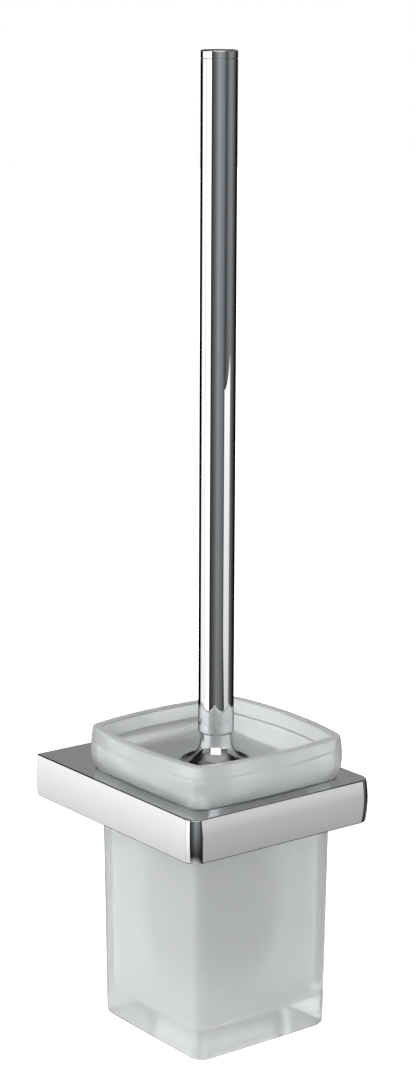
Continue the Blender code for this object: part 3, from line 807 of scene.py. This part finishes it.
def wall_plug(side, materials):
    """Ribbed expansion plug with four slots along it."""
    node = f"wall_plug_{side}"
    length = high(node).y - low(node).y
    outer = (high(node).z - low(node).z) / 2
    root = outer - 0.4 * MM
    inner = 2.05 * MM
    edge = 0.3 * MM
    nose_wall, slot_wall, slot_angle = 0.15 * MM, 0.12 * MM, 0.12
    ribs, rows_per_rib, nose = 4, 6, 4 * MM
    pitch = (length - nose - edge) / ribs
    profile = [(inner, 0), (outer - edge, 0)]
    for rib in range(ribs):
        for row in range(rows_per_rib):
            share = row / rows_per_rib
            profile.append((blend_value(outer, root, share**0.8), edge + (rib + share) * pitch))
    profile += [(root, length - nose), (root, length - nose / 2)]
    profile += [(inner + nose_wall, length), (inner, length)]

    def radius_at(radius, z, angle):
        in_slot = abs(((angle + math.pi / 8) % (math.pi / 2)) - math.pi / 4) < slot_angle
        if radius >= root and in_slot and nose < z < length - nose:
            return inner + slot_wall
        return radius

    mesh = turned(node, profile, 64, closed=True, radius_at=radius_at)
    add_piece(f"plug_{side}", mesh, node, materials, math.radians(35), into_wall(node))


# --- brush head


def head_core(materials):
    """Moulded core: a smooth stem with a blind hole, and a thicker body with a round end."""
    bore = STUD_RADIUS + GAP
    depth, edge = 12 * MM, 0.5 * MM
    profile = [(bore, HEAD_TOP), *arc((STEM_RADIUS - edge, HEAD_TOP - edge), edge, 90, 0, 4)]
    shoulder = [(STEM_RADIUS, CORE_TOP + 4 * MM), (STEM_RADIUS + 0.4 * MM, CORE_TOP + 2.6 * MM)]
    shoulder += [(CORE_RADIUS - 0.8 * MM, CORE_TOP + 0.2 * MM), (CORE_RADIUS, CORE_TOP - 0.8 * MM)]
    profile += [tuple(point) for point in smooth_through(shoulder, 5)]
    profile += arc((CORE_RADIUS - CORE_DOME, CORE_FOOT + CORE_DOME), CORE_DOME, 0, -90, 8)
    profile += [(0, CORE_FOOT), (0, HEAD_TOP - depth), (bore, HEAD_TOP - depth + 1 * MM)]
    mesh = turned("core", profile, 64, closed=True)
    add_piece("core_moulding", mesh, "head_core", materials, math.radians(40), ON_AXIS)


def add_filament(shape, path, shade_layer, shade):
    """A three-sided filament along a path of points, closed at both ends."""
    rings = []
    direction = (path[-1] - path[0]).normalized()
    side = direction.orthogonal().normalized()
    other = direction.cross(side)
    for point in path:
        ring = []
        for step in range(3):
            angle = 2 * math.pi * step / 3
            offset = (side * math.cos(angle) + other * math.sin(angle)) * FILAMENT_RADIUS
            vertex = shape.verts.new(point + offset)
            vertex[shade_layer] = shade
            ring.append(vertex)
        rings.append(ring)
    for lower, upper in zip(rings, rings[1:]):
        for step in range(3):
            after = (step + 1) % 3
            shape.faces.new((lower[step], lower[after], upper[after], upper[step]))
    shape.faces.new(rings[0][::-1])
    shape.faces.new(rings[-1])


def fan_tuft(shape, shade_layer, rng, root, spread, reach_at):
    """One tuft. root is its hole's middle; spread(a, b) turns two numbers in -1..1 into a unit direction."""
    for _ in range(FILAMENTS_PER_TUFT):
        radius, turn = math.sqrt(rng.random()), rng.random() * 2 * math.pi
        a, b = radius * math.cos(turn), radius * math.sin(turn)
        direction = spread(a, b)
        side = direction.cross(Vector((0, 0, 1)))
        side = side.normalized() if side.length > 0.01 else Vector((1, 0, 0))
        over = side.cross(direction)
        start = root + (side * a + over * b) * TUFT_ROOT_RADIUS
        length = reach_at(start, direction) * rng.uniform(SHORTEST_FILAMENT, 1.0)
        bow = (side * rng.uniform(-1, 1) + over * rng.uniform(-1, 1)) * FILAMENT_BOW
        path = []
        for share in (0, 0.35, 0.7, 1):
            path.append(start + direction * length * share + bow * 4 * share * (1 - share))
        add_filament(shape, path, shade_layer, rng.random())


def bristle_piece(name, node, tufts, seed, materials):
    """tufts holds (root, spread, reach_at), about the origin of the shared axis."""
    shape = bmesh.new()
    shade_layer = shape.verts.layers.float.new("filament_shade")
    rng = random.Random(seed)
    for root, spread, reach_at in tufts:
        fan_tuft(shape, shade_layer, rng, root, spread, reach_at)
    mesh = mesh_from(name, shape)
    add_piece(name, mesh, node, materials, math.radians(80), ON_AXIS)


def bristle_row(number, materials):
    """One circle of radial tufts that fan out to a full ring."""
    node = f"bristle_row_{number}"
    centre = middle(node).z
    reach = high(node).x - FILAMENT_RADIUS
    half = (high(node).z - low(node).z) / 2 - FILAMENT_RADIUS
    depth, overlap = 2.5 * MM, 1.15
    tufts = []
    for index in range(TUFTS_PER_ROW):
        turn = 2 * math.pi * (index + 0.5 * (number % 2)) / TUFTS_PER_ROW
        root = Vector((math.cos(turn), math.sin(turn), 0)) * (CORE_RADIUS - depth) + Vector((0, 0, centre))

        def spread(a, b, turn=turn):
            fan = turn + a * math.pi / TUFTS_PER_ROW * overlap
            slope = b * (half - TUFT_ROOT_RADIUS) / (reach - CORE_RADIUS)
            return Vector((math.cos(fan), math.sin(fan), slope)).normalized()

        def reach_at(start, direction):
            flat = Vector((start.x, start.y))
            way = Vector((direction.x, direction.y))
            along = flat.dot(way)
            chord = math.sqrt(along**2 - way.length_squared * (flat.length_squared - reach**2))
            return (chord - along) / way.length_squared

        tufts.append((root, spread, reach_at))
    bristle_piece(f"tufts_{number}", node, tufts, 40 + number, materials)


def bristle_tip(materials):
    """Tufts that fan out of the core's rounded end, down to just above the tumbler's floor."""
    node = "bristle_tip"
    foot = low(node).z + FILAMENT_RADIUS
    centre = Vector((0, 0, CORE_FOOT + CORE_DOME))
    side_reach, end_reach = high(node).x - 1.2 * MM, 14.5 * MM
    overlap, widest_fan, fan_height = 1.1, 0.8, 11
    # Each ring of tufts: how far it points down in degrees, how many tufts it has, and its radius.
    rings = ((22, 12, 7.0 * MM), (48, 9, 6.0 * MM), (72, 6, 3.8 * MM), (89, 1, 0.0))
    first_slope, last_slope = rings[0][0], rings[-1][0]
    tufts = []
    for slope, count, ring_radius in rings:
        for index in range(count):
            turn = 2 * math.pi * (index + 0.25 * (slope % 4)) / count
            outward = Vector((math.cos(turn), math.sin(turn), 0))
            root = centre + outward * ring_radius

            def spread(a, b, turn=turn, slope=slope, count=count):
                fan = turn + a * min(math.pi / count * overlap, widest_fan)
                down = math.radians(slope + b * fan_height)
                flat = math.cos(down)
                return Vector((math.cos(fan) * flat, math.sin(fan) * flat, -math.sin(down)))

            def reach_at(start, direction, slope=slope):
                share = (slope - first_slope) / (last_slope - first_slope)
                limit = blend_value(side_reach, end_reach, share)
                to_floor = (start.z - foot) / max(0.05, -direction.z)
                return min(limit - (start - centre).length * 0.6, to_floor)

            tufts.append((root, spread, reach_at))
    bristle_piece("tufts_tip", node, tufts, 60, materials)


# --- studio


def radiance(grey):
    """Linear light for a display grey from 0 to 255."""
    value = grey / 255
    return value / 12.92 if value <= 0.04045 else ((value + 0.055) / 1.055) ** 2.4


def math_node(tree, operation, first, second=None):
    node = tree.nodes.new("ShaderNodeMath")
    node.operation = operation
    for index, value in enumerate((first, second)):
        if value is None:
            continue
        if isinstance(value, (int, float)):
            node.inputs[index].default_value = value
        else:
            tree.links.new(value, node.inputs[index])
    return node.outputs["Value"]


def window(tree, angle, start, end, soft):
    """1 where the angle lies from start to end, in degrees, with soft edges."""
    rise = map_range(tree, angle, start - soft / 2, start + soft / 2, 0, 1, True)
    fall = map_range(tree, angle, end - soft / 2, end + soft / 2, 1, 0, True)
    return math_node(tree, "MULTIPLY", rise, fall)


def mix_color(tree, share, first, second):
    node = tree.nodes.new("ShaderNodeMix")
    node.data_type = "RGBA"
    tree.links.new(share, node.inputs["Factor"])
    for name, value in (("A", first), ("B", second)):
        socket = next(s for s in node.inputs if s.name == name and s.type == "RGBA")
        if isinstance(value, (int, float)):
            socket.default_value = (value, value, value, 1)
        else:
            tree.links.new(value, socket)
    return next(s for s in node.outputs if s.type == "RGBA")


# The studio is drawn by direction. Side is in degrees to the right of the camera, and rise is in degrees
# above the horizon. Greys are display greys, and levels are linear light.

# The room around the object, as (side, grey).
DARK_STUDIO = (
    (-180, 14), (-128, 10), (-120, 60), (-48, 16), (-43, 34), (-38, 74), (-30, 87), (-18, 112), (-6, 148),
    (4, 160), (12, 153), (20, 140), (30, 132), (36, 116), (44, 80), (51, 77), (58, 108), (66, 124), (76, 140),
    (88, 136), (98, 118), (108, 96), (119, 72), (132, 30), (146, 12), (180, 14),
)
STUDIO_TINT = (0.965, 1.0, 1.03)

# What a ray that was reflected and then passed through the glass sees, as (side, grey).
THROUGH_GLASS = (
    (-180, 252), (-130, 252), (-115, 295), (-58, 300), (-38, 178), (0, 145), (38, 160), (52, 215), (85, 222),
    (98, 222), (135, 250), (160, 255), (180, 252),
)
GLASS_TINT = (0.99, 1.0, 1.0)


def direction_angles(tree):
    """The side and the rise of the ray's direction."""
    coordinates = tree.nodes.new("ShaderNodeTexCoord")
    mapping = tree.nodes.new("ShaderNodeMapping")
    mapping.inputs["Rotation"].default_value = (0, 0, math.pi / 2 - CAMERA_AZIMUTH)
    tree.links.new(coordinates.outputs["Generated"], mapping.inputs["Vector"])
    axes = tree.nodes.new("ShaderNodeSeparateXYZ")
    tree.links.new(mapping.outputs["Vector"], axes.inputs["Vector"])
    side = math_node(tree, "DEGREES", math_node(tree, "ARCTAN2", axes.outputs["Y"], axes.outputs["X"]))
    rise = math_node(tree, "DEGREES", math_node(tree, "ARCSINE", axes.outputs["Z"]))
    return side, rise


def panorama(tree, side, greys, color):
    """The light at each side, blended between (side, grey) stops and tinted with the colour."""
    stops = [((angle + 180) / 360, tuple(radiance(grey) * part for part in color)) for angle, grey in greys]
    return color_ramp(tree, map_range(tree, side, -180, 180, 0, 1), stops)


def room_light(tree, side, rise):
    """What the chrome sees: a dark room with grey flats, a pale ceiling and a white wall on the left."""

    def patch(light, sides, rises, level):
        """Lays a patch over the light. sides and rises are each (start, end, softness)."""
        share = math_node(tree, "MULTIPLY", window(tree, side, *sides), window(tree, rise, *rises))
        return mix_color(tree, share, light, level)

    dimmed = tree.nodes.new("ShaderNodeVectorMath")
    dimmed.operation = "SCALE"
    tree.links.new(panorama(tree, side, DARK_STUDIO, STUDIO_TINT), dimmed.inputs[0])
    tree.links.new(map_range(tree, rise, -30, 15, 0.2, 1.45), dimmed.inputs["Scale"])
    light = dimmed.outputs["Vector"]

    camera_side = window(tree, side, -80, 80, 20)
    overhead = mix_color(tree, camera_side, radiance(34), radiance(96))
    light = mix_color(tree, map_range(tree, rise, 3, 9, 0, 1, True), light, overhead)
    high_back = math_node(tree, "SUBTRACT", map_range(tree, rise, 46, 60, 0, 1, True), camera_side)
    light = mix_color(tree, high_back, light, radiance(112))

    flats = window(tree, math_node(tree, "ABSOLUTE", side), 150, 210, 20)
    for start, end in ((-96, -48), (79, 142)):
        flats = math_node(tree, "MAXIMUM", flats, window(tree, side, start, end, 4))
    flats = math_node(tree, "MULTIPLY", flats, window(tree, rise, 7, 28, 6))
    light = mix_color(tree, flats, light, radiance(144))
    # Low behind the object, on the right.
    light = patch(light, (128, 190, 8), (-40, -20, 6), radiance(165))

    ceiling_rise = map_range(tree, rise, 14, 58, 0, 1, True)
    ceiling = math_node(tree, "MULTIPLY", window(tree, side, -85, 85, 60), ceiling_rise)
    light = mix_color(tree, ceiling, light, radiance(160))
    # The floor in front of the object.
    light = patch(light, (-47, 64, 6), (-80, -36, 8), radiance(205))

    # The white wall on the left, with a darker seam in it.
    wall_rises = (-42, 8, 3)
    wall_fall = map_range(tree, rise, -34, -8, 0.7, 1.2)
    wall_level = math_node(tree, "MULTIPLY", wall_fall, map_range(tree, side, -95, -80, 0.98, 1.15))
    light = patch(light, (-120, -47, 2), wall_rises, wall_level)
    light = patch(light, (-88, -82, 3), wall_rises, radiance(212))
    # The bright window above the camera.
    return patch(light, (-36, 36, 4), (10, 43, 3), 1.15)


def studio_world():
    """Shows the room to the chrome, soft light to matt pieces and plain white to the camera."""
    world = bpy.data.worlds.new("studio")
    bpy.context.scene.world = world
    world.use_nodes = True
    tree = world.node_tree
    side, rise = direction_angles(tree)
    path = tree.nodes.new("ShaderNodeLightPath")

    soft = map_range(tree, side, -100, 100, 1.25, 0.88, True)
    light = mix_color(tree, path.outputs["Is Diffuse Ray"], room_light(tree, side, rise), soft)

    # Straight through the glass lies the white backdrop.
    reflected = map_range(tree, path.outputs["Glossy Depth"], 0, 1, 0, 1)
    dark_above = map_range(tree, rise, 24, 32, 0, 1, True)
    seen_back = mix_color(tree, dark_above, panorama(tree, side, THROUGH_GLASS, GLASS_TINT), 0.03)
    behind_glass = mix_color(tree, reflected, 1.0, seen_back)
    light = mix_color(tree, path.outputs["Is Transmission Ray"], light, behind_glass)
    light = mix_color(tree, path.outputs["Is Camera Ray"], light, 1.0)
    tree.links.new(light, tree.nodes["Background"].inputs["Color"])


def from_axis(side, distance, height):
    """The point at that many degrees to the right of the camera, seen from the brush's axis."""
    turn = CAMERA_AZIMUTH + math.radians(side)
    return Vector((math.sin(turn) * distance, AXIS.y - math.cos(turn) * distance, height))


def add_card(name, outline, make_fade):
    """A glowing card, standing on its side. outline holds (point on the plan, height)."""
    shape = bmesh.new()
    shape.faces.new([shape.verts.new((point.x, point.y, z)) for point, z in outline])
    card = add_object(name, mesh_from(name, shape))
    material = bpy.data.materials.new(name)
    material.use_nodes = True
    tree = material.node_tree
    tree.nodes.clear()
    output = tree.nodes.new("ShaderNodeOutputMaterial")
    emission = tree.nodes.new("ShaderNodeEmission")
    axes = tree.nodes.new("ShaderNodeSeparateXYZ")
    tree.links.new(object_coordinates(tree), axes.inputs["Vector"])
    tree.links.new(make_fade(tree, axes.outputs["Z"]), emission.inputs["Color"])
    tree.links.new(emission.outputs["Emission"], output.inputs["Surface"])
    card.data.materials.append(material)
    card.visible_camera = False
    card.visible_diffuse = False
    card.visible_shadow = False
    return card


def reflector_card():
    """A white card, low on the right, that fades towards its foot. Only the chrome sees it."""
    left_top, right_top, knee, step, foot = 0.122, 0.116, -0.03, -0.12, -0.3
    left, right = from_axis(44, 0.4, 0), from_axis(85, 0.59, 0)
    inner = left.lerp(right, 0.3)
    outline = (
        (inner, foot), (right, foot), (right, right_top), (left, left_top), (left, knee), (inner, step)
    )
    fade_foot, fade_top = -0.34, 0.11
    stops = [(0.0, 168), (0.2, 177), (0.48, 191), (0.6, 214), (0.73, 224), (0.88, 240), (1.0, 252)]
    plate_reflectance = 0.93

    def fade(tree, height):
        share = map_range(tree, height, fade_foot, fade_top, 0, 1)
        colors = [(place, (radiance(grey) / plate_reflectance,) * 3) for place, grey in stops]
        return color_ramp(tree, share, colors)

    card = add_card("reflector_card", outline, fade)
    card.visible_transmission = False


def backing_card():
    """A dark card behind the object, seen only through the glass: it darkens the tumbler's reflections."""
    middle_point = from_axis(180, 0.2, 0)
    across = Vector((math.cos(CAMERA_AZIMUTH), math.sin(CAMERA_AZIMUTH), 0)) * 0.5
    left, right = middle_point - across, middle_point + across
    foot, top = 0.0, 0.5
    outline = ((left, foot), (right, foot), (right, top), (left, top))

    def fade(tree, height):
        share = map_range(tree, height, foot, top, 0, 1)
        return color_ramp(tree, share, [(0.0, (0.07,) * 3), (1.0, (0.05,) * 3)])

    card = add_card("backing_card", outline, fade)
    card.visible_glossy = False


def soft_box(name, side, rise, distance, size, level):
    """An area light that the chrome doesn't see. level is the brightness of its face."""
    data = bpy.data.lights.new(name, "AREA")
    data.size = size
    data.energy = level * math.pi * size**2
    light = add_object(name, data)
    away = from_axis(side, distance * math.cos(math.radians(rise)), distance * math.sin(math.radians(rise)))
    light.location = away
    light.rotation_euler = (away - AXIS).to_track_quat("Z", "Y").to_euler()
    light.visible_camera = False
    light.visible_glossy = False


def studio_lights():
    reflector_card()
    backing_card()
    soft_box("left_soft_box", side=-80, rise=35, distance=1.2, size=1.0, level=1.5)


def pale_floor():
    """A large pale sheet below the object, with a faint mottle."""
    shape = bmesh.new()
    bmesh.ops.create_grid(shape, x_segments=24, y_segments=24, size=6.0)
    floor = add_object("floor", mesh_from("floor", shape))
    floor.location.z = FOOT_Z - FLOOR_DROP
    material, tree, shader = new_material("pale_floor")
    tint(tree, shader, noise(tree, object_coordinates(tree), 2, 4), ((0.93,) * 3, (0.96,) * 3))
    shader.inputs["Roughness"].default_value = 0.9
    shader.inputs["Specular IOR Level"].default_value = 0.1
    shader.inputs["Emission Color"].default_value = (1, 1, 1, 1)
    shader.inputs["Emission Strength"].default_value = 0.75
    floor.data.materials.append(material)
    floor.visible_glossy = False
    floor.visible_diffuse = False
    floor.visible_transmission = False
    floor.visible_shadow = False


def add_camera():
    data = bpy.data.cameras.new("camera")
    data.lens = CAMERA_LENS
    data.sensor_width = CAMERA_SENSOR
    data.sensor_fit = "AUTO"
    data.clip_start = 0.01
    camera = add_object("camera", data)
    turn = Matrix.Rotation(CAMERA_AZIMUTH, 4, "Z")
    tilt = Matrix.Rotation(math.pi / 2 - CAMERA_PITCH, 4, "X")
    roll = Matrix.Rotation(CAMERA_ROLL, 4, "Z")
    camera.matrix_world = Matrix.Translation(CAMERA_PLACE) @ turn @ tilt @ roll
    bpy.context.scene.camera = camera


def main():
    materials = make_materials()
    for name, obj in NODES.items():
        obj.data.materials.clear()
        obj.data.materials.append(materials[SLOT_OF[name]])

    holder_ring(materials)
    set_screw(materials)
    for side in ("left", "right"):
        wall_screw(side, materials)
        wall_plug(side, materials)
    glass_tumbler(materials)
    for make_piece in (handle_tube, handle_cap, handle_neck, threaded_stud, head_core):
        make_piece(materials)
    for number in range(1, ROW_COUNT + 1):
        bristle_row(number, materials)
    bristle_tip(materials)

    studio_world()
    studio_lights()
    pale_floor()
    add_camera()
    bpy.context.scene.view_settings.view_transform = "Standard"


main()
